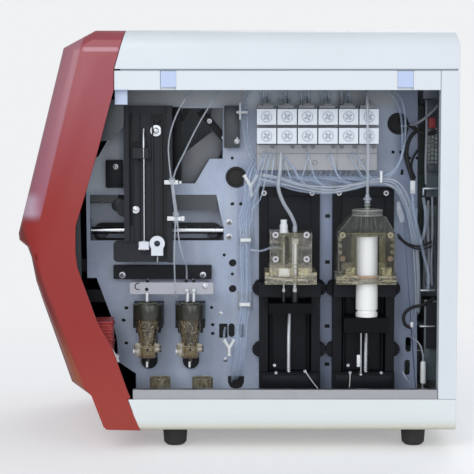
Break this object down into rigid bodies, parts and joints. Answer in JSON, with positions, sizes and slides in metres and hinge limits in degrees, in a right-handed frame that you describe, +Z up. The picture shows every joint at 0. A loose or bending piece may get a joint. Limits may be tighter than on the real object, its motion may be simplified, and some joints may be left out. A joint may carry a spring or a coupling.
{
  "type": "hematology analyzer",
  "caption": "Benchtop blood analyzer with its service side open: sampler with needle, baths, valve rows and syringe pumps on a plate behind a red display nose.",
  "frame": {"origin": "middle of the footprint's box, on the surface the feet stand on", "axes": "+X from the red display nose to the rear panel, +Y from the open service side to the far side, +Z up"},
  "size_m": [0.458, 0.33, 0.438],
  "materials": {
    "white_paint": "satin",
    "red_plastic": "satin",
    "black_plastic": "matte",
    "black_paint": "satin",
    "black_anodised": "satin",
    "plate_paint": "satin",
    "bare_steel": "brushed",
    "bare_aluminium": "brushed",
    "light_plastic": "satin",
    "clear_amber": "clear",
    "rubber_black": "matte",
    "board_green": "satin",
    "dark_glass": "polished",
    "hose_clear": "clear"
  },
  "bodies": {
    "cabinet": {"base_sill": "bare_steel", "base_tray": "white_paint", "bath_1": "clear_amber", "bath_2": "clear_amber", "bath_holder_1": "black_plastic", "bath_holder_2": "black_plastic", "display_frame": "black_plastic", "display_glass": "dark_glass", "drain_cups": "clear_amber", "fan_frame": "black_plastic", "far_side_cover": "white_paint", "fluid_ports": "black_plastic", "foot_front_far": "rubber_black", "foot_front_near": "rubber_black", "foot_rear_far": "rubber_black", "foot_rear_near": "rubber_black", "front_frame": "black_paint", "front_shell": "red_plastic", "guide_beam": "bare_aluminium", "guide_rod": "bare_steel", "large_pump_block": "clear_amber", "large_pump_frame": "black_anodised", "main_board": "board_green", "mid_plate": "plate_paint", "power_inlet": "black_plastic", "power_supply": "bare_aluminium", "rear_panel": "white_paint", "rear_post": "white_paint", "rinse_bar": "bare_aluminium", "sample_pocket": "red_plastic", "sampler_tubes": "hose_clear", "sensor_bar": "black_plastic", "small_pump_block": "clear_amber", "small_pump_frame": "black_anodised", "top_cover": "white_paint", "top_rail": "white_paint", "tube_loom": "hose_clear", "valve_manifold": "light_plastic", "valve_row_lower": "light_plastic", "valve_row_upper": "light_plastic", "x_belt": "rubber_black", "x_motor": "black_paint"},
    "carriage": {"carriage_plate": "black_plastic", "z_belt": "rubber_black", "z_motor": "black_paint", "z_idler_block": "light_plastic", "wash_swab": "light_plastic"},
    "needle": {"z_slider": "black_plastic", "sample_needle": "bare_steel"},
    "drive_pulley": {"x_drive_pulley": "bare_steel"},
    "idler_pulley": {"x_idler_pulley": "bare_steel"},
    "small_pump_nut": {"small_pump_carriage": "black_anodised", "small_pump_plunger": "light_plastic"},
    "small_pump_spindle": {"small_pump_screw": "bare_steel"},
    "large_pump_nut": {"large_pump_carriage": "black_anodised", "large_pump_plunger": "light_plastic"},
    "large_pump_spindle": {"large_pump_screw": "bare_steel"},
    "key": {"aspirate_key": "light_plastic"},
    "rocker": {"power_switch": "black_plastic"},
    "rotor": {"fan_rotor": "black_plastic"}
  },
  "joints": [
    {"name": "carriage_slide", "type": "slide", "parent": "cabinet", "child": "carriage", "axis": [1, 0, 0], "range_m": [-0.049, 0.05]},
    {"name": "needle_lift", "type": "slide", "parent": "carriage", "child": "needle", "axis": [0, 0, 1], "range_m": [-0.088, 0]},
    {"name": "drive_pulley_spin", "type": "hinge", "parent": "cabinet", "child": "drive_pulley", "pos_m": [-0.1485, -0.051, 0.2205], "axis": [0, 1, 0], "range_deg": [-335, 345]},
    {"name": "idler_pulley_spin", "type": "hinge", "parent": "cabinet", "child": "idler_pulley", "pos_m": [-0.0265, -0.051, 0.2205], "axis": [0, 1, 0], "range_deg": [-335, 345]},
    {"name": "small_pump_stroke", "type": "slide", "parent": "cabinet", "child": "small_pump_nut", "axis": [0, 0, 1], "range_m": [-0.04, 0.004]},
    {"name": "small_spindle_spin", "type": "hinge", "parent": "cabinet", "child": "small_pump_spindle", "pos_m": [0.0565, -0.094, 0.1], "axis": [0, 0, 1], "range_deg": [-1810, 190]},
    {"name": "large_pump_stroke", "type": "slide", "parent": "cabinet", "child": "large_pump_nut", "axis": [0, 0, 1], "range_m": [-0.042, 0.002]},
    {"name": "large_spindle_spin", "type": "hinge", "parent": "cabinet", "child": "large_pump_spindle", "pos_m": [0.1401, -0.094, 0.1], "axis": [0, 0, 1], "range_deg": [-1900, 100]},
    {"name": "aspirate_key_press", "type": "slide", "parent": "cabinet", "child": "key", "axis": [1, 0, 0], "range_m": [0, 0.0025], "stiffness_N_per_m": 400, "springref_m": -0.001},
    {"name": "power_rocker_tilt", "type": "hinge", "parent": "cabinet", "child": "rocker", "pos_m": [0.225, 0.1122, 0.11136], "axis": [0, 1, 0], "range_deg": [-8, 8]},
    {"name": "fan_spin", "type": "hinge", "parent": "cabinet", "child": "rotor", "pos_m": [0.2187, 0.066, 0.3066], "axis": [1, 0, 0], "continuous": true}
  ],
  "couplings": [
    {"joint": "drive_pulley_spin", "follows": "carriage_slide", "rad_per_m": 117.6},
    {"joint": "idler_pulley_spin", "follows": "carriage_slide", "rad_per_m": 117.6},
    {"joint": "small_spindle_spin", "follows": "small_pump_stroke", "rad_per_m": 785.4},
    {"joint": "large_spindle_spin", "follows": "large_pump_stroke", "rad_per_m": 785.4}
  ]
}
